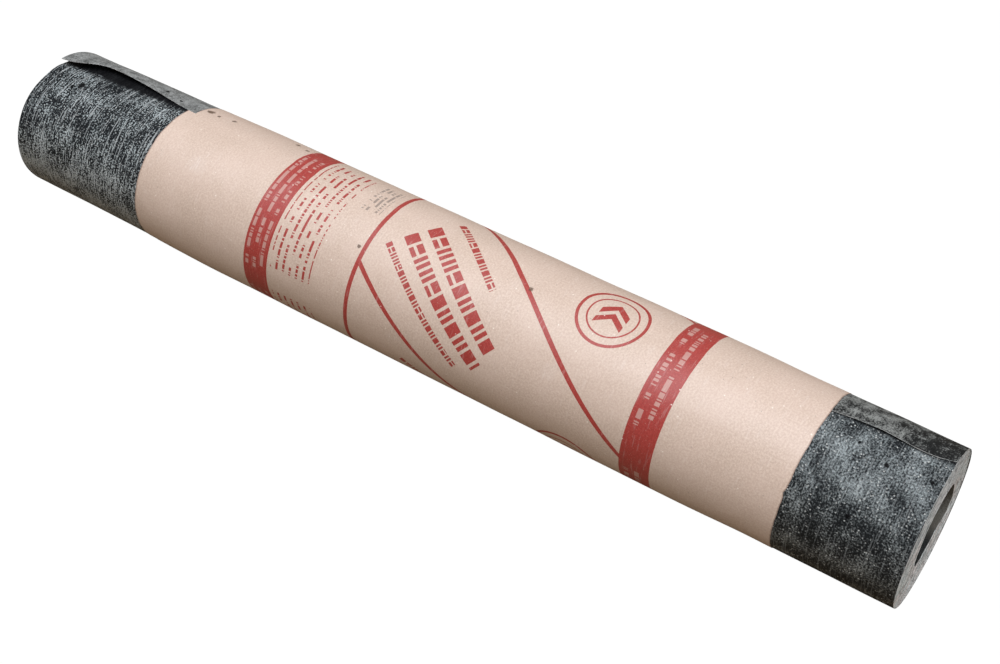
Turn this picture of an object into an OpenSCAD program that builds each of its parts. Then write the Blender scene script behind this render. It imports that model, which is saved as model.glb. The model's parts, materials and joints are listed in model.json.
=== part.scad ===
// Roll of roofing felt, lying on its side, in its kraft paper wrapper.
//
// The roll's axis runs along X. The floor is z = 0 and the origin is under the
// middle of the roll. Angles go round the axis: 0 faces -Y, 90 is straight up
// and 180 faces +Y.

/* [Felt roll] */
// Width of the felt sheet, which is the length of the roll
roll_length = 1000; // [400:1:1500]
// Radius over the outermost turn
roll_radius = 76.4; // [45:0.1:140]
// Radius of the open bore in the middle
bore_radius = 24; // [15:0.1:40]
// Thickness of the felt sheet
felt_thickness = 1.1; // [0.9:0.01:3]
// Angle of the sheet's free edge, round the axis
free_edge_angle = 99; // [95:1:120]

/* [Ends of the roll] */
// Depth of the groove between two turns, on the ends
groove_depth = 1.2; // [0.4:0.1:3]
// Width of that groove at its mouth
groove_width = 0.4; // [0.2:0.05:0.8]

/* [Lifted corner] */
// How far the turns under the loose corner are pressed in, at the end
dent_depth = 5.5; // [1:0.1:6]
// Length of the pressed-in stretch, from the end
dent_length = 165; // [60:1:190]
// Angle at the middle of the pressed-in stretch
dent_angle = 86; // [80:1:92]

/* [Paper wrapper] */
// Width of the paper, along the roll
wrap_width = 711; // [300:1:900]
// Distance of the wrapper's middle from the middle of the roll
wrap_offset = 34.5; // [-60:0.5:60]
// Thickness of the paper
paper_thickness = 0.3; // [0.2:0.05:0.8]
// How far the first layer stands out past the second, at the -X edge
layer_shift = 11; // [0:0.5:30]
// Angle that the second layer covers, from the felt's free edge
second_layer_angle = 160; // [60:1:175]
// Room between the felt and the paper
wrap_clearance = 0.1; // [0.05:0.05:1]

/* [Hidden] */
$fn = 180;

// Height of the axis: the roll lies on the single layer of paper underneath
axis_height = roll_radius + wrap_clearance + paper_thickness;
// The outline is two half circles, and the second has its centre this far from
// the axis, so that the two end a sheet's thickness apart at the free edge
half_step = felt_thickness / 2;
turn_count = floor((roll_radius - bore_radius) / felt_thickness);
far_out = 2 * roll_radius;
past_end = 1;
first_layer = wrap_clearance + paper_thickness;
second_layer = first_layer + paper_thickness;

// A section's own X runs along the free edge's radius, seen from the roll's -X
// end, and is turned to the free edge's angle when the section is placed.
module along_roll(x_start, length)
    translate([x_start, 0, axis_height])
        rotate([0, 90, 0])
            rotate([0, 0, 180])
                linear_extrude(length)
                    rotate([0, 0, 90 - free_edge_angle])
                        children();

// Half planes on the two sides of the line through the free edge
module behind_edge()
    translate([-far_out, -far_out])
        square([2 * far_out, far_out]);

module before_edge()
    translate([-far_out, 0])
        square([2 * far_out, far_out]);

// The felt's outline behind its free edge and before it, grown by "grow"
module half_behind(grow)
    intersection() {
        circle(roll_radius + grow);
        behind_edge();
    }

module half_before(grow)
    intersection() {
        translate([-half_step, 0])
            circle(roll_radius + grow - half_step);
        before_edge();
    }

module felt_outline(grow) {
    half_behind(grow);
    half_before(grow);
}

// The second layer comes over the free edge and runs straight down to the first,
// and the narrow wedge of room under it is filled
module bridge() {
    r_layer = roll_radius + second_layer - half_step;
    r_edge = roll_radius + first_layer;
    reach = acos(r_layer / (r_edge + half_step));
    polygon([
        [-half_step, 0],
        [r_edge, 0],
        [r_layer * cos(reach) - half_step, r_layer * sin(reach)]
    ]);
}

module sector_before_edge(angle)
    polygon([
        [0, 0],
        [far_out, 0],
        for (a = [30:30:angle - 1]) far_out * [cos(a), sin(a)],
        far_out * [cos(angle), sin(angle)]
    ]);

// V grooves between the turns, cut into the end at z = 0 of a turned shape
module turn_grooves()
    rotate_extrude()
        for (i = [1:turn_count - 1]) {
            r = bore_radius + i * felt_thickness;
            slope = groove_width / 2 / groove_depth;
            polygon([
                [r, groove_depth],
                [r - groove_width / 2 - slope * past_end, -past_end],
                [r + groove_width / 2 + slope * past_end, -past_end]
            ]);
        }

// What is gone under the loose corner: a slanting flat across the top of the
// -X end, which leaves the outermost turn standing behind the free edge
module dent()
    difference() {
        translate([-roll_length / 2, 0, axis_height])
            rotate([90 - dent_angle, 0, 0])
                translate([0, 0, roll_radius - felt_thickness - dent_depth])
                    rotate([0, -atan(dent_depth / dent_length), 0])
                        translate([-dent_length, -roll_radius, 0])
                            cube([3 * dent_length, 2 * roll_radius, roll_radius]);
        along_roll(-roll_length / 2 - past_end - dent_length, 4 * dent_length)
            difference() {
                behind_edge();
                circle(roll_radius - felt_thickness);
            }
    }

module felt_roll()
    color([0.24, 0.27, 0.28])
        difference() {
            along_roll(-roll_length / 2, roll_length)
                difference() {
                    felt_outline(0);
                    circle(bore_radius);
                }
            for (side = [0, 1])
                translate([0, 0, axis_height])
                    mirror([side, 0, 0])
                        translate([-roll_length / 2, 0, 0])
                            rotate([0, 90, 0])
                                turn_grooves();
            dent();
        }

module paper_wrapper()
    color([0.84, 0.76, 0.68]) {
        x_edge = wrap_offset - wrap_width / 2;
        along_roll(x_edge, wrap_width) {
            difference() {
                half_behind(first_layer);
                half_behind(wrap_clearance);
            }
            intersection() {
                difference() {
                    union() {
                        half_before(second_layer);
                        bridge();
                    }
                    half_before(first_layer);
                }
                sector_before_edge(second_layer_angle);
            }
        }
        along_roll(x_edge - layer_shift, wrap_width)
            difference() {
                half_before(first_layer);
                half_before(wrap_clearance);
            }
    }

felt_roll();
paper_wrapper();
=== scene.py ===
# A roll of roofing felt lying on its side, in its printed kraft paper wrapper.
#
# The roll's axis runs along X. Angles go round the axis in degrees: 0 faces -Y, 90 is
# straight up and 180 faces +Y. Each sheet is modelled flat, with X counting its turns,
# Y running along the roll and Z through its thickness, and is then wound up.
import json
import math

import bpy
import numpy as np
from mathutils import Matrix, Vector, noise


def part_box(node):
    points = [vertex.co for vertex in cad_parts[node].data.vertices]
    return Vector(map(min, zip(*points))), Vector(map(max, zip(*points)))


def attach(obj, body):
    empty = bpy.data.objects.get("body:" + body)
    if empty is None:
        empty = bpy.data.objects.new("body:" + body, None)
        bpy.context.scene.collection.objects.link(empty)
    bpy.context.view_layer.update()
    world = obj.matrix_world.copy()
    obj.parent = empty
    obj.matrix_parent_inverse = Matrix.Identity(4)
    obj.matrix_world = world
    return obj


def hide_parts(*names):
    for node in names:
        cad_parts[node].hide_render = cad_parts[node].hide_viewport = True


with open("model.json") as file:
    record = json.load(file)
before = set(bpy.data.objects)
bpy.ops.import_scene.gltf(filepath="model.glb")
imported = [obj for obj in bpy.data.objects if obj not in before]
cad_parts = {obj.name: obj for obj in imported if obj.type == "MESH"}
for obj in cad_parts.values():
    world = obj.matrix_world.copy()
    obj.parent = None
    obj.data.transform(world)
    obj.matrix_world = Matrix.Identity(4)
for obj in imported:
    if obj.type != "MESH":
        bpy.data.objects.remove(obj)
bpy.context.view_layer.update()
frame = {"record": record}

MM = 0.001

# The roll, from the frame
bore_mount = next(m for m in frame["record"]["mounts"] if m["name"] == "bore")
axis_height = bore_mount["pos_m"][2]
bore_radius = bore_mount["dims"]["r_mm"] * MM
felt_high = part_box("felt_roll")[1]
paper_low, paper_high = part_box("paper_wrapper")
half_length = felt_high.x
roll_radius = felt_high.y
round_the_roll = 2 * math.pi * roll_radius

# The felt sheet, which fills nearly all of its pitch
felt_pitch = 1.1 * MM
felt_thickness = 1.0 * MM
felt_turns = (roll_radius - bore_radius) / felt_pitch
free_edge_angle = 99

# The paper sheet, which starts tucked in under the felt's free edge, and is drawn a
# little thinner than it is
paper_gap = 0.1 * MM
paper_thickness = 0.2 * MM
paper_drawn = paper_thickness * 0.9
layer_shift = 11 * MM
paper_left = paper_low.x + layer_shift
paper_right = paper_high.x
paper_start_angle = 104
paper_turns = 1.44

# Where the felt's free edge lies, as angles at places along the roll
FREE_EDGE = [
    (-0.500, 95),
    (-0.487, 96.5),
    (-0.478, 99),
    (-0.468, 103),
    (-0.457, 107),
    (-0.444, 108.8),
    (-0.425, 108.4),
    (-0.400, 107),
    (-0.360, 104),
    (-0.330, 102),
    (0.380, 95),
    (0.405, 96.2),
    (0.432, 97.2),
    (0.452, 96),
    (0.467, 95.2),
    (0.480, 95.6),
    (0.490, 97.6),
    (0.500, 100.6),
]
# How far that edge stands off the roll, in millimetres
EDGE_LIFT = [
    (-0.500, -0.4),
    (-0.478, 0.8),
    (-0.452, 2.4),
    (-0.425, 2.8),
    (-0.385, 2.0),
    (-0.335, 0.2),
    (0.385, 0.3),
    (0.410, 1.6),
    (0.440, 2.3),
    (0.465, 1.6),
    (0.500, 0.4),
]
# How much wider the bore is than it should be, in millimetres, at angles round it
BORE_SWELLING = [
    (-129, 0),
    (-80, 1),
    (-39, 12),
    (-10, 9),
    (20, 6),
    (51, 7),
    (96, 10),
    (141, 18),
    (169, 19),
    (190, 24),
    (205, 22),
    (214, 17),
    (226, 3),
    (231, 0),
]


# The part of each turn that stays level, before the sheet drops in by one pitch
LEVEL_PART = 0.45

# The free edge's wave and its lift die out in these parts of a turn
WAVE_PART = 0.14
LIFT_PART = 0.11


# Shapes as functions of place


def ease(value, start, end):
    """0 before start, 1 past end, and a smooth rise between them."""
    t = np.clip((value - start) / (end - start), 0, 1)
    return t * t * (3 - 2 * t)


def bump(angle, centre, width):
    """A smooth swelling round the roll, 1 at its centre, for angles in degrees."""
    away = (angle - centre + 180) % 360 - 180
    return np.exp(-((away / width) ** 2))


def curve_through(points, value):
    """A smooth curve through a few points that never overshoots them, read at value."""
    places, heights = np.array(points, float).T
    slopes = np.diff(heights) / np.diff(places)
    before, after = np.append(slopes[0], slopes), np.append(slopes, slopes[-1])
    level = before * after <= 0
    bends = np.where(level, 0, 2 * before * after / np.where(level, 1, before + after))
    i = np.clip(np.searchsorted(places, value) - 1, 0, len(slopes) - 1)
    span = places[i + 1] - places[i]
    t = np.clip((value - places[i]) / span, 0, 1)
    return (
        heights[i] * (1 + 2 * t) * (1 - t) ** 2
        + bends[i] * span * t * (1 - t) ** 2
        + heights[i + 1] * t * t * (3 - 2 * t)
        - bends[i + 1] * span * t * t * (1 - t)
    )


def ripple(x, angle, size, seed):
    """Smooth noise between -1 and 1 over the roll's surface, with features of that size."""
    turned = np.radians(angle)
    places = zip(
        x / size + seed,
        roll_radius * np.cos(turned) / size,
        roll_radius * np.sin(turned) / size,
    )
    return np.array([noise.noise(Vector(p)) for p in places])


def out_of_round(x, angle):
    """How far the roll's surface stands in or out of a true cylinder, in millimetres."""
    wrapped = ease(x, -0.35, -0.24) * (1 - ease(x, 0.28, 0.37))
    upper_back = bump(angle, 138, 32) * (1.3 * wrapped - 0.9)
    lower_front = bump(angle, -37, 30) * (1.5 * wrapped - 0.8)
    left = 1.3 * ease(-x, 0.36, 0.52) * (bump(angle, 30, 28) - bump(angle, 140, 26))
    left = left - 1.4 * ease(-x, 0.29, 0.43) * bump(angle, -37, 26)
    right = 0.7 * ease(x, 0.43, 0.50) * (bump(angle, 60, 30) - bump(angle, 140, 26))
    uneven = 0.3 * ripple(x, angle, 0.055, 3) * (1 - bump(angle, -90, 30))
    return upper_back + lower_front + left + right + uneven


def dent(x, angle):
    """How far the roll is pressed in under its loose corner, in millimetres."""
    return ease(-x, 0.33, 0.47) * (6.0 * bump(angle, 102, 15) + 3.7 * bump(angle, 77, 17))


def felt_surface(turn, x, inside):
    """The angle and radius of the felt, that many turns in from its free edge."""
    near_edge = 1 - ease(turn, 0, WAVE_PART)
    angle = free_edge_angle + 360 * turn
    angle = angle + (curve_through(FREE_EDGE, x) - free_edge_angle) * near_edge

    first = BORE_SWELLING[0][0]
    swelling = curve_through(BORE_SWELLING, (angle - first) % 360 + first) * MM
    pitch = felt_pitch - swelling / felt_turns
    whole = np.floor(turn)
    stepped = whole + ease(turn - whole, LEVEL_PART, 1)
    radius = roll_radius - pitch * (stepped + inside / felt_pitch)

    outwards = 1 - turn / felt_turns
    pressed = dent(x, angle) * ease(turn, 0.4, 0.6)
    lift = curve_through(EDGE_LIFT, x) * (1 - ease(turn, 0, LIFT_PART))
    return angle, radius + ((out_of_round(x, angle) - pressed) * outwards + lift) * MM


def on_roll(x, angle, radius):
    turned = np.radians(angle)
    return np.stack(
        [x, -radius * np.cos(turned), axis_height + radius * np.sin(turned)], axis=1
    )


# Modelling

# Edges that turn by more degrees than this stay sharp
SHARP_ANGLE = 50


def deselect_all():
    bpy.ops.object.select_all(action="DESELECT")


def flat_sheet(name, turns, columns, low, high):
    """A flat grid, turns long in X and from low to high in Y."""
    deselect_all()
    bpy.ops.mesh.primitive_grid_add(x_subdivisions=columns, y_subdivisions=1, size=1)
    sheet = bpy.context.object
    sheet.name = sheet.data.name = name
    bpy.ops.object.mode_set(mode="EDIT")
    bpy.ops.mesh.select_all(action="SELECT")
    bpy.ops.transform.resize(value=(turns, high - low, 1))
    bpy.ops.transform.translate(value=(turns / 2, (low + high) / 2, 0))
    bpy.ops.object.mode_set(mode="OBJECT")
    return sheet


def cut_edges(sheet, cuts, wanted):
    """Cuts each edge that wanted() picks, by its two ends, into cuts + 1 pieces."""
    mesh = sheet.data
    bpy.context.tool_settings.mesh_select_mode = (False, True, False)
    bpy.ops.object.mode_set(mode="EDIT")
    bpy.ops.mesh.select_all(action="DESELECT")
    bpy.ops.object.mode_set(mode="OBJECT")
    for edge in mesh.edges:
        a, b = (mesh.vertices[v].co for v in edge.vertices)
        edge.select = wanted(a, b)
    bpy.ops.object.mode_set(mode="EDIT")
    bpy.ops.mesh.subdivide(number_cuts=cuts)
    bpy.ops.object.mode_set(mode="OBJECT")


def cut_rows(sheet, places):
    """Cuts the whole sheet across, at those places along the roll."""
    bpy.context.view_layer.objects.active = sheet
    bpy.context.tool_settings.mesh_select_mode = (False, False, True)
    bpy.ops.object.mode_set(mode="EDIT")
    for y in places:
        bpy.ops.mesh.select_all(action="SELECT")
        bpy.ops.mesh.bisect(plane_co=(0, y, 0), plane_no=(0, 1, 0))
    bpy.ops.object.mode_set(mode="OBJECT")


def apply_modifier(piece, name, kind, **settings):
    modifier = piece.modifiers.new(name, kind)
    for key, value in settings.items():
        setattr(modifier, key, value)
    bpy.context.view_layer.objects.active = piece
    bpy.ops.object.modifier_apply(modifier=name)


def wind_up(sheet, surface):
    """Winds a flat sheet onto the roll, where surface() says that it lies."""
    count = len(sheet.data.vertices)
    flat = np.empty(count * 3)
    sheet.data.vertices.foreach_get("co", flat)
    turn, x, height = flat.reshape(count, 3).T
    sheet.data.vertices.foreach_set("co", surface(turn, x, -height).ravel())
    sheet.data.update()


def smooth(piece):
    deselect_all()
    piece.select_set(True)
    bpy.context.view_layer.objects.active = piece
    bpy.ops.object.shade_smooth_by_angle(angle=math.radians(SHARP_ANGLE))


# Felt


def wound_felt(turn, x, inside):
    """The turns don't end quite level, and the outer one stands proud of the rest."""
    angle, radius = felt_surface(turn, x, inside)
    ragged = np.array([noise.noise(Vector((t * 2.3, s, 0))) for t, s in zip(turn, np.sign(x))])
    inner = ease(turn, 0.97, 1.02)
    recess = inner * (0.2 + 0.5 * bump(angle, 175, 70)) + (0.1 + 0.3 * inner) * ragged
    recess = np.maximum(recess, 0) * MM * ease(np.abs(x), 0.4, half_length)
    return on_roll(x - np.sign(x) * recess, angle, radius)


# Where the sheet is cut across, so that its shape can change there
FELT_CUTS = [-0.485, -0.42, -0.33, 0.385, 0.485]

# Cuts between those, where the outer turns are bare or under the paper: how many, from, to
FINE_CUTS = [(9, -0.501, -0.329), (23, -0.331, 0.386), (9, 0.384, 0.501)]
FINE_TURNS = 1.6


def make_felt():
    columns_a_turn = 48
    columns = round(columns_a_turn * felt_turns)
    felt = flat_sheet("felt", felt_turns, columns, -half_length, half_length)
    cut_rows(felt, FELT_CUTS)

    def lengthways(a, b):
        return abs(a.y - b.y) < 1e-6 and min(a.x, b.x) < FINE_TURNS

    def crossways(low, high):
        def wanted(a, b):
            outer = abs(a.x - b.x) < 1e-6 and a.x < FINE_TURNS
            return outer and low < min(a.y, b.y) and max(a.y, b.y) < high

        return wanted

    cut_edges(felt, 2, lengthways)
    for cuts, low, high in FINE_CUTS:
        cut_edges(felt, cuts, crossways(low, high))

    felt.data.materials.append(felt_finish())
    felt.data.materials.append(cut_edge_finish())
    apply_modifier(
        felt, "thickness", "SOLIDIFY", thickness=felt_thickness, offset=-1, material_offset_rim=1
    )
    apply_modifier(
        felt, "arris", "BEVEL", width=0.12 * MM, segments=1, limit_method="ANGLE", material=1
    )
    wind_up(felt, wound_felt)
    smooth(felt)
    return felt


# Paper


def paper_skew(turn):
    """How far the paper has run along the roll, for it isn't wound on quite square."""
    drift = 0.036 * MM * 360
    settled = ease(turn, 0.45, 0.95)
    first_turn = (layer_shift + drift * np.minimum(turn, 0.45)) * (1 - settled)
    return -first_turn - drift * np.maximum(turn - 1, 0)


def uneven_edges(x, angle):
    """How far the paper's edges are frayed, and nicked on the right, in millimetres."""
    frayed = 0.5 * ripple(x, angle, 0.006, 9) + 0.5 * ripple(x, angle, 0.02, 5)
    nick = 1.4 * bump(angle, 31, 1.5) * ease(x, 0.380, paper_right)
    return frayed * ease(np.abs(x), 0.25, 0.35) + nick


def wound_paper(turn, x, inside):
    """The paper's second layer passes over the felt's free edge and down to the first."""
    angle = paper_start_angle - 360 * turn
    where = x + paper_skew(turn)
    where = where - uneven_edges(x, angle) * MM
    edge = curve_through(FREE_EDGE, where)
    past_edge = edge - 360 - angle
    second = past_edge > 0
    felt_turn = np.where(second, 2, 1) + (angle - free_edge_angle) / 360
    radius = felt_surface(felt_turn, where, 0)[1] + paper_gap + second * paper_thickness

    edge_radius = felt_surface(np.zeros_like(x), where, 0)[1] + paper_gap
    under = roll_radius - felt_pitch + paper_gap + paper_thickness
    reach = np.degrees(np.arccos(under / edge_radius))
    bridge = under / np.cos(np.radians(np.clip(reach - past_edge, 0, reach)))
    radius = np.where(second & (past_edge < reach), np.maximum(radius, bridge), radius)
    return on_roll(where, angle, radius - inside)


def make_paper():
    columns_a_turn, rows = 110, 119
    columns = round(paper_turns * columns_a_turn)
    paper = flat_sheet("paper", paper_turns, columns, paper_left, paper_right)
    cut_rows(paper, np.linspace(paper_left, paper_right, rows + 1)[1:-1])
    paper.data.materials.append(paper_finish())
    apply_modifier(paper, "thickness", "SOLIDIFY", thickness=paper_drawn, offset=1)
    wind_up(paper, wound_paper)
    smooth(paper)
    return paper


# Node helpers


def fill(tree, socket, value):
    if isinstance(value, bpy.types.NodeSocket):
        tree.links.new(value, socket)
    else:
        socket.default_value = value


def add_node(tree, kind, inputs, **settings):
    """Adds a node, and fills its inputs by name or number with values or sockets."""
    node = tree.nodes.new("ShaderNode" + kind)
    for key, value in settings.items():
        setattr(node, key, value)
    for key, value in dict(inputs).items():
        fill(tree, node.inputs[key], value)
    return node


def calc(tree, operation, *values):
    return add_node(tree, "Math", enumerate(values), operation=operation).outputs[0]


def total(tree, parts):
    """The sum of values, each times its weight."""
    result = 0.0
    for value, weight in parts:
        result = calc(tree, "MULTIPLY_ADD", value, weight, result)
    return result


def join(tree, operation, masks):
    """Joins several masks into one, with MAXIMUM or MULTIPLY."""
    result = masks[0]
    for mask in masks[1:]:
        result = calc(tree, operation, result, mask)
    return result


def rise(tree, value, low, high, start=0.0, end=1.0):
    """A smooth change from start, below low, to end, above high."""
    values = {"Value": value, "From Min": low, "From Max": high, "To Min": start, "To Max": end}
    return add_node(tree, "MapRange", values, interpolation_type="SMOOTHSTEP").outputs[0]


def within(tree, value, low, high):
    """1 from low to high, else 0."""
    return calc(tree, "COMPARE", value, (low + high) / 2, (high - low) / 2)


def blend(tree, share, first, second, strength=1.0):
    if strength != 1.0:
        share = calc(tree, "MULTIPLY", share, strength)
    values = {0: share, 6: first, 7: second}
    return add_node(tree, "Mix", values, data_type="RGBA").outputs[2]


def noise_at(tree, place, size, detail=3, roughness=0.55):
    values = {"Vector": place, "Scale": 1 / size, "Detail": detail, "Roughness": roughness}
    return add_node(tree, "TexNoise", values).outputs[0]


def split(tree, place):
    return add_node(tree, "SeparateXYZ", {0: place}).outputs


def pair(tree, x, y):
    return add_node(tree, "CombineXYZ", {0: x, 1: y}).outputs[0]


def new_group(name, inputs, outputs=("Mask",)):
    """A shader node group, with its input sockets and the output sockets to link to."""
    group = bpy.data.node_groups.new(name, "ShaderNodeTree")
    for label, default in inputs.items():
        kind = "NodeSocketVector" if default is None else "NodeSocketFloat"
        socket = group.interface.new_socket(label, in_out="INPUT", socket_type=kind)
        if default is not None:
            socket.default_value = default
    for label in outputs:
        group.interface.new_socket(label, in_out="OUTPUT", socket_type="NodeSocketFloat")
    start = group.nodes.new("NodeGroupInput")
    end = group.nodes.new("NodeGroupOutput")
    return group, start.outputs, end.inputs


def use_group(tree, group, **inputs):
    """Places a group, and gives its outputs."""
    node = tree.nodes.new("ShaderNodeGroup")
    node.node_tree = group
    for key, value in inputs.items():
        fill(tree, node.inputs[key], value)
    return node.outputs


# Effects that several finishes share. Their places are in millimetres.


def make_streaks():
    """Soft lines that run along the place's X, as a field around 0.5."""
    inputs = {"Place": None, "Length": 15.0, "Width": 0.6}
    group, start, end = new_group("streaks", inputs, ["Field"])
    size = pair(group, start["Length"], start["Width"])
    node = add_node(group, "VectorMath", {0: start["Place"], 1: size}, operation="DIVIDE")
    fill(group, end["Field"], noise_at(group, node.outputs[0], 1, 3, 0.6))
    return group


def make_specks():
    """Scattered grains: one to a cell of that size, in that share of the cells."""
    inputs = {"Place": None, "Size": 3.0, "Share": 0.3, "Grain": 0.3}
    group, start, end = new_group("specks", inputs)
    scale = calc(group, "DIVIDE", 1.0, start["Size"])
    cells = add_node(group, "TexVoronoi", {"Vector": start["Place"], "Scale": scale})
    chosen = calc(group, "LESS_THAN", split(group, cells.outputs["Color"])[0], start["Share"])
    away = calc(group, "DIVIDE", cells.outputs["Distance"], start["Grain"])
    fill(group, end["Mask"], calc(group, "MULTIPLY", chosen, rise(group, away, 0.6, 1.1, 1, 0)))
    return group


def make_spot():
    """One blotch with a ragged edge, round a centre."""
    inputs = {"Place": None, "Centre": None, "Radius": 3.0}
    group, start, end = new_group("spot", inputs)
    values = {0: start["Place"], 1: start["Centre"]}
    away = add_node(group, "VectorMath", values, operation="DISTANCE").outputs["Value"]
    away = calc(group, "DIVIDE", away, start["Radius"])
    ragged = calc(group, "MULTIPLY_ADD", noise_at(group, start["Place"], 2.5), 1.6, away)
    fill(group, end["Mask"], rise(group, ragged, 1.4, 1.9, 1, 0))
    return group


def make_blocks():
    """A row of plain upright blocks, from 0 to Span along and Height tall round 0.

    By chance some of them have a slit, level or upright, and the rest are whole.
    """
    inputs = {"Along": 0.0, "Level": 0.0, "Height": 10.0, "Pitch": 8.0, "Span": 100.0}
    group, start, end = new_group("blocks", inputs)
    block_middle, half_block, half_slit = 0.4, 0.39, 0.09
    with_level_slit, whole = 0.4, 0.6
    cell = calc(group, "DIVIDE", start["Along"], start["Pitch"])
    number = calc(group, "FLOOR", cell)
    in_cell = calc(group, "FRACT", cell)
    in_block = calc(group, "COMPARE", in_cell, block_middle, half_block)
    half = calc(group, "MULTIPLY", start["Height"], 0.5)
    in_row = calc(group, "COMPARE", start["Level"], 0.0, half)
    middle = calc(group, "MULTIPLY", start["Span"], 0.5)
    in_span = calc(group, "COMPARE", start["Along"], middle, middle)

    chance = add_node(group, "TexWhiteNoise", {"W": number}, noise_dimensions="1D")
    kind, at = split(group, chance.outputs["Color"])[:2]
    slit_level = calc(group, "MULTIPLY", calc(group, "SUBTRACT", at, 0.5), half)
    slit_reach = calc(group, "MULTIPLY", half, 0.2)
    level_slit = calc(group, "COMPARE", start["Level"], slit_level, slit_reach)
    level_kind = calc(group, "LESS_THAN", kind, with_level_slit)
    level_slit = calc(group, "MULTIPLY", level_slit, level_kind)
    upright_slit = calc(group, "COMPARE", in_cell, block_middle, half_slit)
    upright_kind = calc(group, "GREATER_THAN", kind, whole)
    upright_slit = calc(group, "MULTIPLY", upright_slit, upright_kind)
    solid = calc(group, "SUBTRACT", 1.0, calc(group, "MAXIMUM", level_slit, upright_slit))
    fill(group, end["Mask"], join(group, "MULTIPLY", [in_block, in_row, in_span, solid]))
    return group


def make_small_marks():
    """Columns of short printed dashes that stand in for small print."""
    inputs = {"Place": None, "Pitch": 8.0, "Height": 0.42}
    group, start, end = new_group("small marks", inputs)
    dash_length, word_length = 1.3, 7.0
    missing_dashes, missing_words = 0.28, 0.14
    along, across = split(group, start["Place"])[:2]
    column = calc(group, "DIVIDE", across, start["Pitch"])
    number = calc(group, "FLOOR", column)
    in_column = calc(group, "SUBTRACT", column, number)
    on_line = calc(group, "COMPARE", in_column, 0.5, calc(group, "DIVIDE", start["Height"], 2))
    dash = calc(group, "FLOOR", calc(group, "DIVIDE", along, dash_length))
    word = calc(group, "FLOOR", calc(group, "DIVIDE", along, word_length))
    dashes = add_node(group, "TexWhiteNoise", {0: pair(group, dash, number)})
    words = add_node(group, "TexWhiteNoise", {0: pair(group, word, number)})
    kept = calc(group, "GREATER_THAN", dashes.outputs[0], missing_dashes)
    shown = calc(group, "GREATER_THAN", words.outputs[0], missing_words)
    fill(group, end["Mask"], join(group, "MULTIPLY", [on_line, kept, shown]))
    return group


streaks = make_streaks()
specks = make_specks()
spot = make_spot()
blocks = make_blocks()
small_marks = make_small_marks()


# Finishes


def new_finish(name, roughness):
    material = bpy.data.materials.new(name)
    material.use_nodes = True
    tree = material.node_tree
    shader = tree.nodes["Principled BSDF"]
    shader.inputs["Roughness"].default_value = roughness
    return material, tree, shader


def sheet_place(tree, turns, first_turn, low, high):
    """Millimetres along the wound sheet in X, and along the roll in Y."""
    values = {
        "Vector": add_node(tree, "UVMap", {}).outputs[0],
        "Location": (-first_turn * round_the_roll / MM, low / MM, 0),
        "Scale": (turns * round_the_roll / MM, (high - low) / MM, 1),
    }
    return add_node(tree, "Mapping", values).outputs[0]


def object_place(tree):
    node = tree.nodes.new("ShaderNodeTexCoord")
    values = {"Vector": node.outputs["Object"], "Scale": (1 / MM, 1 / MM, 1 / MM)}
    return add_node(tree, "Mapping", values).outputs[0]


def raise_surface(tree, shader, height, distance):
    values = {"Height": height, "Distance": distance}
    fill(tree, shader.inputs["Normal"], add_node(tree, "Bump", values).outputs[0])


def spots(tree, place, table):
    """Blotches at the places in a table, with their radii."""
    masks = [
        use_group(tree, spot, Place=place, Centre=(*centre, 0), Radius=radius)[0]
        for centre, radius in table
    ]
    return join(tree, "MAXIMUM", masks)


# Burst blisters in the felt: place on the sheet and radius, in millimetres
BLISTERS = [
    ((456, -455), 4.2),
    ((450, -463), 2.4),
    ((10, -372), 2.6),
    ((7, -349), 2.2),
    ((448, 452), 2.2),
    ((451, 491), 2.0),
    ((457, 424), 1.6),
    ((395, 442), 2.0),
]


# Lengths along the felt sheet from its free edge, in millimetres, where its look changes
FLAP_ENDS = (60, 110)
FRONT_BOTTOM_TO_TOP = (300, 420)
LEFT_BOTTOM_TO_MIDDLE = (320, 410)
RIGHT_MIDDLE = (385, 425)
NEAR_FLAP = (452, 472)
OVERHUNG = (484, 492)
OVERHANG_ENDS = (500, 560)
BORE_STARTS = (5000, 6000)

# Places along the roll, in millimetres
LEFT_TO_RIGHT = (-100, 100)
RIGHT_OF_PAPER = (386, 398)
NEAR_RIGHT_END = (425, 500)
IN_FROM_AN_END = (470, 498)

# Colours of the felt; the ones for below are painted shade, warmer and with darker dust than the
# ones for above
DARK_IN_PAINTED_SHADE, DARK_ABOVE = (0.012, 0.012, 0.010, 1), (0.009, 0.011, 0.013, 1)
DUST_IN_PAINTED_SHADE, DUST_ABOVE = (0.34, 0.34, 0.31, 1), (0.37, 0.415, 0.42, 1)
SCRATCH = (0.50, 0.53, 0.53, 1)
GRAIN = (0.62, 0.64, 0.62, 1)
# The bore's paler colour is painted light on its far wall
DARK_BORE, PAINTED_LIGHT_BORE = (0.018, 0.018, 0.017, 1), (0.14, 0.13, 0.11, 1)
RUBBED_DARK, RUBBED_PALE = (0.11, 0.114, 0.11, 1), (0.33, 0.34, 0.33, 1)
STAINED_DARK, STAINED_PALE = (0.014, 0.015, 0.015, 1), (0.27, 0.28, 0.265, 1)
# Bare felt under the overhang and in the blisters, darkened further with painted shade
BARE_FELT_AND_SHADE_BLACK = (0.003, 0.003, 0.004, 1)


def felt_dust(tree, along, right, scratches, grain, patches):
    """On the left the dust is scratched all over; on the right it lies in soft clouds."""
    lower_left = rise(tree, along, *LEFT_BOTTOM_TO_MIDDLE, 0.12, 0)
    lower_right = rise(tree, along, *RIGHT_MIDDLE, 1, 0)
    scratched = [(scratches, 0.75), (grain, 1.05), (patches, 0.55), (lower_left, 1.0)]
    scratched = rise(tree, total(tree, scratched), 1.17, 1.38)
    clouded = [(scratches, 0.4), (grain, 0.85), (patches, 0.7), (lower_right, -0.10)]
    clouded = rise(tree, total(tree, clouded), 0.78, 1.36)
    return blend(tree, right, scratched, clouded)


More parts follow.
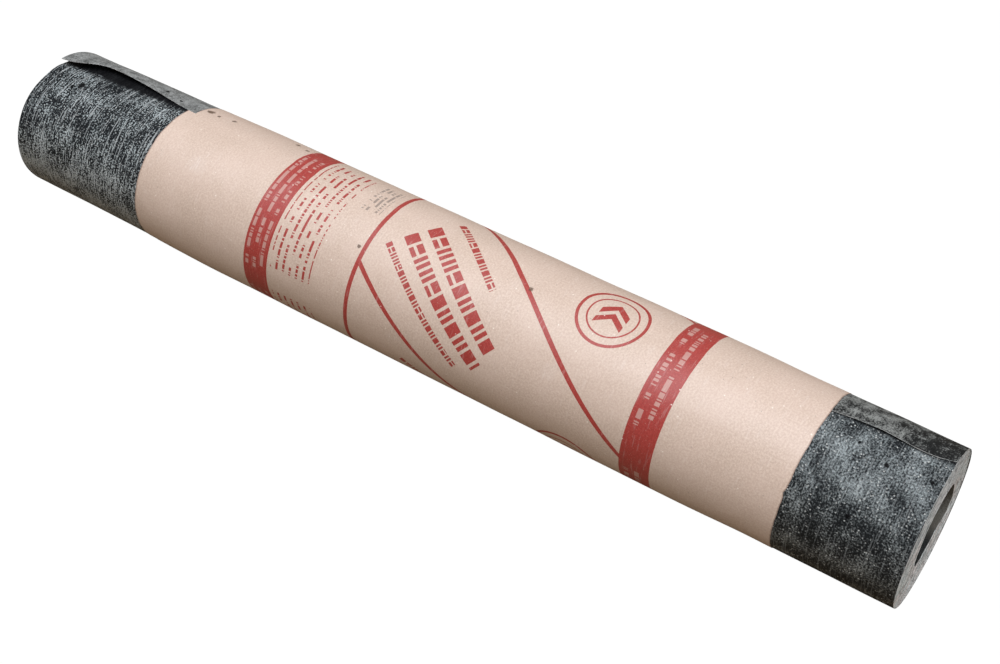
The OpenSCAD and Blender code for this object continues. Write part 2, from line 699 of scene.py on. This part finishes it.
def felt_grains(tree, place, right):
    """Pale grains in patches, and thickest by the paper and by the free edge."""
    along, across = split(tree, place)[:2]
    grains = use_group(tree, specks, Place=place, Size=2.6, Share=0.4, Grain=0.32)[0]
    crowded = rise(tree, noise_at(tree, place, 16, 2), 0.42, 0.6, 0.25, 0.9)
    near_paper = rise(tree, across, *RIGHT_OF_PAPER, 1, 0)
    near_flap = rise(tree, along, *NEAR_FLAP)
    crowded = join(tree, "MAXIMUM", [crowded, near_paper, near_flap])
    return join(tree, "MULTIPLY", [grains, rise(tree, right, 0, 1, 0.6, 1), crowded])


def bore_colour(tree):
    """Dark inside, and paler brown by the ends, where the bore bulges out to the back: painted
    light on that far wall.
    """
    sideways, back = split(tree, object_place(tree))[:2]
    by_an_end = rise(tree, calc(tree, "ABSOLUTE", sideways), *IN_FROM_AN_END, 0.1, 1)
    # Painted light on the bore's far wall by the ends.
    painted_light_wall = calc(tree, "MULTIPLY", rise(tree, back, 2, 22), by_an_end)
    return blend(tree, painted_light_wall, DARK_BORE, PAINTED_LIGHT_BORE)


def flap_colour(tree, place, right, scratches, grain):
    """The last of the sheet, rubbed smooth on the left and stained on the right."""
    across = split(tree, place)[1]
    stains = noise_at(tree, place, 13, 3, 0.6)
    towards_end = rise(tree, across, *NEAR_RIGHT_END, 0, -0.16)
    mottle = total(tree, [(stains, 0.8), (grain, 0.6), (scratches, 0.3), (towards_end, 1.0)])
    rubbed = blend(tree, rise(tree, mottle, 0.66, 1.0), RUBBED_DARK, RUBBED_PALE)
    stained = blend(tree, rise(tree, mottle, 0.68, 1.02), STAINED_DARK, STAINED_PALE)
    return blend(tree, right, rubbed, stained)


def felt_finish():
    """Charcoal felt with pale mineral dust, scratched round the roll."""
    material, tree, shader = new_finish("bitumen felt", 0.7)
    shader.inputs["Specular IOR Level"].default_value = 0.1
    place = sheet_place(tree, felt_turns, 0, -half_length, half_length)
    along, across = split(tree, place)[:2]
    right = rise(tree, across, *LEFT_TO_RIGHT)
    scratches = use_group(tree, streaks, Place=place, Length=11.0, Width=1.4)[0]
    grain = noise_at(tree, place, 1.8, 1, 0.6)
    patches = noise_at(tree, place, 24, 3)

    dust = felt_dust(tree, along, right, scratches, grain, patches)
    # Towards the bottom of the roll the felt is painted warmer and its dust darker: painted
    # shade.
    above = rise(tree, along, *FRONT_BOTTOM_TO_TOP)
    dark = blend(tree, above, DARK_IN_PAINTED_SHADE, DARK_ABOVE)
    pale = blend(tree, above, DUST_IN_PAINTED_SHADE, DUST_ABOVE)
    colour = blend(tree, dust, dark, pale)

    lines = use_group(tree, streaks, Place=place, Length=50.0, Width=1.7)[0]
    lines = rise(tree, lines, 0.57, 0.63)
    lines = calc(tree, "MULTIPLY", lines, rise(tree, right, 0, 1, 0.65, 0.18))
    colour = blend(tree, lines, colour, SCRATCH)
    grains = felt_grains(tree, place, right)
    colour = blend(tree, grains, colour, GRAIN, 0.85)

    # The look changes to the bore's inside the roll, out of sight
    in_bore = rise(tree, along, *BORE_STARTS)
    colour = blend(tree, in_bore, colour, bore_colour(tree), 0.9)
    on_flap = rise(tree, along, *FLAP_ENDS, 1, 0)
    flap = flap_colour(tree, place, right, scratches, grain)
    colour = blend(tree, on_flap, colour, flap)

    # No dust has settled where the free edge overhangs, nor in the blisters, and there the felt
    # is darkened further still with painted shade
    overhung = total(tree, [(along, 1.0), (right, 3.0), (grain, 16.0)])
    overhung = rise(tree, overhung, *OVERHUNG)
    holes = spots(tree, place, BLISTERS)
    bare_and_painted_shade = calc(tree, "MAXIMUM", overhung, holes)
    bare_and_painted_shade = calc(tree, "MULTIPLY", bare_and_painted_shade, rise(tree, along, *OVERHANG_ENDS, 1, 0))
    colour = blend(tree, bare_and_painted_shade, colour, BARE_FELT_AND_SHADE_BLACK, 0.97)
    fill(tree, shader.inputs["Base Color"], colour)

    height = total(tree, [(dust, 0.5), (grain, 1.0), (grains, 0.8), (holes, -2.5)])
    raise_surface(tree, shader, height, 0.5 * MM)
    fill(tree, shader.inputs["Roughness"], rise(tree, grain, 0.3, 0.7, 0.5, 0.85))
    return material


# Colours of the felt's cut edges
WARM_EDGE, COOL_EDGE = (0.58, 0.55, 0.53, 1), (0.55, 0.60, 0.59, 1)
DULL_EDGE = (0.34, 0.35, 0.345, 1)
PALE_CRUMB, DARK_CRUMB = (0.78, 0.76, 0.73, 1), (0.10, 0.10, 0.10, 1)


def cut_edge_finish():
    """Dusty grey felt, where the turns' edges show on the ends of the roll."""
    material, tree, shader = new_finish("felt cut edge", 0.9)
    place = object_place(tree)
    patches = rise(tree, noise_at(tree, place, 18, 3), 0.38, 0.62)
    colour = blend(tree, patches, WARM_EDGE, COOL_EDGE)
    towards_top = rise(tree, split(tree, place)[2], 70, 150)
    colour = blend(tree, towards_top, colour, DULL_EDGE, 0.7)
    crumbs = noise_at(tree, place, 6, 5, 0.8)
    colour = blend(tree, rise(tree, crumbs, 0.5, 0.64), colour, PALE_CRUMB, 0.6)
    colour = blend(tree, rise(tree, crumbs, 0.39, 0.49, 1, 0), colour, DARK_CRUMB, 0.85)
    fill(tree, shader.inputs["Base Color"], colour)
    raise_surface(tree, shader, crumbs, 0.8 * MM)
    return material


# The print repeats this often round the roll, in millimetres, and its lines slant
PRINT_REPEAT = 171.5
SLANT = math.radians(38.1)

# Where the print lies along the roll, in millimetres
LEFT_BAND = (-189, -160)
RIGHT_BAND = (240, 271)
RIGHT_BAND_MARKS = (243, 266)
RING = (-66, -61.5)
SLANTING_LINES = (-64, 241)
SMALL_PRINT = (-156, -108)

# Where it starts round the roll, and half the width of a slanting line
LINES_START = 125
PRINT_START = -19
EMBLEM_START = -67
HALF_LINE = 2.9

# The emblem: its place along the roll, its rings, its two chevrons and half their width
EMBLEM_ACROSS = 181
EMBLEM_RINGS = [(22.6, 24.2), (31, 34)]
CHEVRONS = [(-16, -9), (-4, 3)]
HALF_CHEVRON = 14

# Rows of blocks between two slanting lines: level, height, pitch and span
BLOCK_ROWS = [(-9, 7, 7.6, 92), (26, 14, 14.6, 146), (55, 14, 14.6, 149), (83, 6.5, 6.6, 137)]


def repeated(tree, value, first):
    """The value counted from first, starting again at each repeat of the print."""
    return calc(tree, "FLOORED_MODULO", calc(tree, "SUBTRACT", value, first), PRINT_REPEAT)


def emblem_marks(tree, along, across):
    """Two rings round two plain chevrons."""
    down = calc(tree, "SUBTRACT", repeated(tree, along, EMBLEM_START), PRINT_REPEAT / 2)
    sideways = calc(tree, "SUBTRACT", across, EMBLEM_ACROSS)
    reach = add_node(tree, "VectorMath", {0: pair(tree, down, sideways)}, operation="LENGTH")
    rings = [within(tree, reach.outputs["Value"], *ring) for ring in EMBLEM_RINGS]
    off_middle = calc(tree, "ABSOLUTE", sideways)
    sloping = calc(tree, "MULTIPLY_ADD", off_middle, -0.75, down)
    chevrons = join(tree, "MAXIMUM", [within(tree, sloping, *limits) for limits in CHEVRONS])
    short = calc(tree, "LESS_THAN", off_middle, HALF_CHEVRON)
    return join(tree, "MAXIMUM", [*rings, calc(tree, "MULTIPLY", chevrons, short)])


def slanting_print(tree, along, across):
    """The slanting lines, and the rows of blocks between them."""
    slanted = calc(tree, "MULTIPLY_ADD", across, -math.tan(SLANT), along)
    from_line = repeated(tree, slanted, LINES_START - PRINT_REPEAT / 2)
    lines = calc(tree, "COMPARE", from_line, PRINT_REPEAT / 2, HALF_LINE)
    lines = calc(tree, "MULTIPLY", lines, within(tree, across, *SLANTING_LINES))

    level = repeated(tree, slanted, LINES_START)
    level = calc(tree, "SUBTRACT", level, PRINT_REPEAT - LINES_START)
    in_row = calc(tree, "MULTIPLY", level, math.sin(SLANT))
    in_row = calc(tree, "MULTIPLY_ADD", across, 1 / math.cos(SLANT), in_row)
    in_row = calc(tree, "ADD", in_row, 7.0)
    rows = []
    for middle, height, pitch, span in BLOCK_ROWS:
        off = calc(tree, "MULTIPLY", calc(tree, "SUBTRACT", level, middle), math.cos(SLANT))
        sizes = {"Height": height, "Pitch": pitch, "Span": span}
        rows.append(use_group(tree, blocks, Along=in_row, Level=off, **sizes)[0])
    return join(tree, "MAXIMUM", [lines, *rows])


def marks_in(tree, place, pitch, height, columns, start, end):
    """Small marks inside those columns, from start to end in each repeat of the print."""
    lines_of_print = repeated(tree, split(tree, place)[0], PRINT_START)
    marks = use_group(tree, small_marks, Place=place, Pitch=pitch, Height=height)[0]
    return join(tree, "MULTIPLY", [marks, columns, within(tree, lines_of_print, start, end)])


def make_wrapper_print():
    """Red bands, ring, slanting lines and plain blocks, and pale marks in the bands."""
    group, start, end = new_group("wrapper print", {"Place": None}, ["Red", "Pale"])
    place = start["Place"]
    along, across = split(group, place)[:2]
    left_band, right_band, ring, columns, inside_right_band = (
        within(group, across, *limits)
        for limits in (LEFT_BAND, RIGHT_BAND, RING, SMALL_PRINT, RIGHT_BAND_MARKS)
    )
    slanting = slanting_print(group, along, across)
    emblem = emblem_marks(group, along, across)
    marks = marks_in(group, place, 8.0, 0.34, columns, 0, 140)
    red = join(group, "MAXIMUM", [left_band, right_band, ring, slanting, marks, emblem])
    fill(group, end["Red"], red)

    small = marks_in(group, place, 9.0, 0.4, left_band, 10, 150)
    large = marks_in(group, place, 11.0, 0.45, inside_right_band, 0, 120)
    fill(group, end["Pale"], calc(group, "MAXIMUM", small, large))
    return group


# Small stains, and pale scuffs: place on the paper and radius, in millimetres
STAINS = [
    ((-11, -313), 4.6),
    ((-9, -301), 2.2),
    ((-13, -284), 2.8),
    ((-26, -211), 2.8),
    ((-21, -196), 2.4),
    ((63, -70), 2.2),
    ((29, 101), 2.4),
]
SCUFFS = [((58, -272), 11), ((92, 155), 9), ((30, 88), 7)]

# A patch of small grey marks: from and to along the sheet, and along the roll
GREY_MARKS = [(-18, 26), (-96, -73)]

# Colours of the paper and its print
DARK_KRAFT, PALE_KRAFT = (0.57, 0.425, 0.335, 1), (0.63, 0.475, 0.385, 1)
PALE_PULP = (0.75, 0.62, 0.52, 1)
DARK_RED, BRIGHT_RED = (0.33, 0.010, 0.008, 1), (0.43, 0.024, 0.018, 1)
PALE_PRINT = (0.62, 0.42, 0.36, 1)
GREY_INK = (0.12, 0.10, 0.09, 1)
LIGHT_FLECK, DARK_FLECK = (0.88, 0.80, 0.72, 1), (0.16, 0.10, 0.07, 1)
SCUFFED = (0.82, 0.75, 0.70, 1)
STAIN = (0.09, 0.045, 0.02, 1)
BROWN_EDGE = (0.16, 0.07, 0.045, 1)


def edge_shade(tree, along, across):
    """The paper's lower layer is darker along its left edge, and both along the right."""
    low, high = paper_left / MM, paper_right / MM
    left_edge = rise(tree, across, low + 0.3, low + 1.8, 1, 0)
    left_edge = calc(tree, "MULTIPLY", left_edge, rise(tree, along, -6, 0, 1, 0))
    return calc(tree, "MAXIMUM", left_edge, rise(tree, across, high - 1.4, high - 0.3))


def paper_rubs(tree, place):
    """Faint rubs all over, and stronger ones in the scuffs."""
    rubs = use_group(tree, streaks, Place=place, Length=24.0, Width=3.0)[0]
    rubs = rise(tree, rubs, 0.56, 0.7)
    scuffs = spots(tree, place, SCUFFS)
    scuffs = calc(tree, "MULTIPLY", scuffs, rise(tree, rubs, 0, 1, 0.25, 1))
    return calc(tree, "MULTIPLY_ADD", scuffs, 0.8, calc(tree, "MULTIPLY", rubs, 0.35))


def paper_finish():
    """Kraft paper with faded red print, flecks, scuffs and a few stains."""
    material, tree, shader = new_finish("kraft paper", 0.45)
    shader.inputs["Specular IOR Level"].default_value = 0.6
    place = sheet_place(tree, paper_turns, 1, paper_left, paper_right)
    along, across = split(tree, place)[:2]
    cloud = rise(tree, noise_at(tree, place, 55, 3), 0.3, 0.7)
    colour = blend(tree, cloud, DARK_KRAFT, PALE_KRAFT)
    pulp = noise_at(tree, place, 1.9, 6, 0.75)
    colour = blend(tree, rise(tree, pulp, 0.40, 0.62), colour, PALE_PULP, 0.7)

    red_print, pale_print = use_group(tree, wrapper_print, Place=place)
    worn = rise(tree, noise_at(tree, place, 1.4, 4, 0.7), 0.26, 0.40)
    ink = calc(tree, "MULTIPLY", red_print, worn)
    red = blend(tree, rise(tree, pulp, 0.4, 0.65), DARK_RED, BRIGHT_RED)
    colour = blend(tree, ink, colour, red, 0.94)
    colour = blend(tree, pale_print, colour, PALE_PRINT, 0.6)

    marks = use_group(tree, small_marks, Place=place, Pitch=5.0, Height=0.5)[0]
    in_patch = [within(tree, at, *limits) for at, limits in zip((along, across), GREY_MARKS)]
    marks = join(tree, "MULTIPLY", [marks, *in_patch, worn])
    colour = blend(tree, marks, colour, GREY_INK, 0.6)

    light = use_group(tree, specks, Place=place, Size=7.0, Share=0.25, Grain=0.11)[0]
    colour = blend(tree, light, colour, LIGHT_FLECK, 0.8)
    dark = use_group(tree, specks, Place=place, Size=6.0, Share=0.16, Grain=0.09)[0]
    colour = blend(tree, dark, colour, DARK_FLECK, 0.55)
    rubs = paper_rubs(tree, place)
    colour = blend(tree, rubs, colour, SCUFFED, 0.4)
    colour = blend(tree, spots(tree, place, STAINS), colour, STAIN, 0.85)
    colour = blend(tree, edge_shade(tree, along, across), colour, BROWN_EDGE, 0.55)
    fill(tree, shader.inputs["Base Color"], colour)

    fill(tree, shader.inputs["Roughness"], rise(tree, rubs, 0, 1, 0.45, 0.32))
    creases = noise_at(tree, place, 14, 4, 0.6)
    raise_surface(tree, shader, total(tree, [(creases, 1.5), (pulp, 0.25)]), 0.35 * MM)
    return material


wrapper_print = make_wrapper_print()

felt = make_felt()
paper = make_paper()

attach(felt, "root")
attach(paper, "root")
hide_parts("felt_roll")
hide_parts("paper_wrapper")


# Floor, light and camera

WHITE, BLACK = (1, 1, 1, 1), (0, 0, 0, 1)
WARM_BOUNCE = (0.17, 0.115, 0.06, 1)
SKY = (0.27, 0.262, 0.25, 1)

# Soft lamps: energy, tilt to the front and turn to the right, in degrees
LAMPS = {"top lamp": (2.6, 10, -5), "side lamp": (1.2, 0, 65)}
LAMP_SPREAD = 55
LAMP_COLOUR = (0.985, 1.0, 1.06)

CAMERA_PLACE = (0.63683, -0.87187, 1.08480 + axis_height)
CAMERA_DOWN, CAMERA_TURN = 46.409, 33.504
CAMERA_LENS, CAMERA_SENSOR = 56.88, 36


def lay_floor():
    """Plain white to look at, but it throws only a little warm light back up."""
    deselect_all()
    bpy.ops.mesh.primitive_plane_add(size=30, location=(0, 0, 0))
    floor = bpy.context.object
    floor.name = "studio_floor"
    material, tree, shader = new_finish("pale floor", 0.9)
    seen = add_node(tree, "LightPath", {}).outputs["Is Camera Ray"]
    fill(tree, shader.inputs["Base Color"], blend(tree, seen, WARM_BOUNCE, BLACK))
    fill(tree, shader.inputs["Emission Color"], WHITE)
    fill(tree, shader.inputs["Emission Strength"], seen)
    floor.data.materials.append(material)


def light_the_room():
    world = bpy.data.worlds.new("studio")
    bpy.context.scene.world = world
    world.use_nodes = True
    tree = world.node_tree
    seen = add_node(tree, "LightPath", {}).outputs["Is Camera Ray"]
    fill(tree, tree.nodes["Background"].inputs["Color"], blend(tree, seen, SKY, WHITE))

    for name, (energy, tilt, turn) in LAMPS.items():
        lamp = bpy.data.lights.new(name, "SUN")
        lamp.energy = energy
        lamp.color = LAMP_COLOUR
        lamp.angle = math.radians(LAMP_SPREAD)
        sun = bpy.data.objects.new(name, lamp)
        sun.rotation_euler = (math.radians(tilt), math.radians(turn), 0)
        bpy.context.scene.collection.objects.link(sun)


def place_camera():
    lens = bpy.data.cameras.new("camera")
    lens.lens = CAMERA_LENS
    lens.sensor_width = CAMERA_SENSOR
    camera = bpy.data.objects.new("camera", lens)
    camera.location = CAMERA_PLACE
    camera.rotation_euler = (math.radians(90 - CAMERA_DOWN), 0, math.radians(CAMERA_TURN))
    bpy.context.scene.collection.objects.link(camera)
    bpy.context.scene.camera = camera


bpy.context.scene.view_settings.view_transform = "Standard"
lay_floor()
light_the_room()
place_camera()
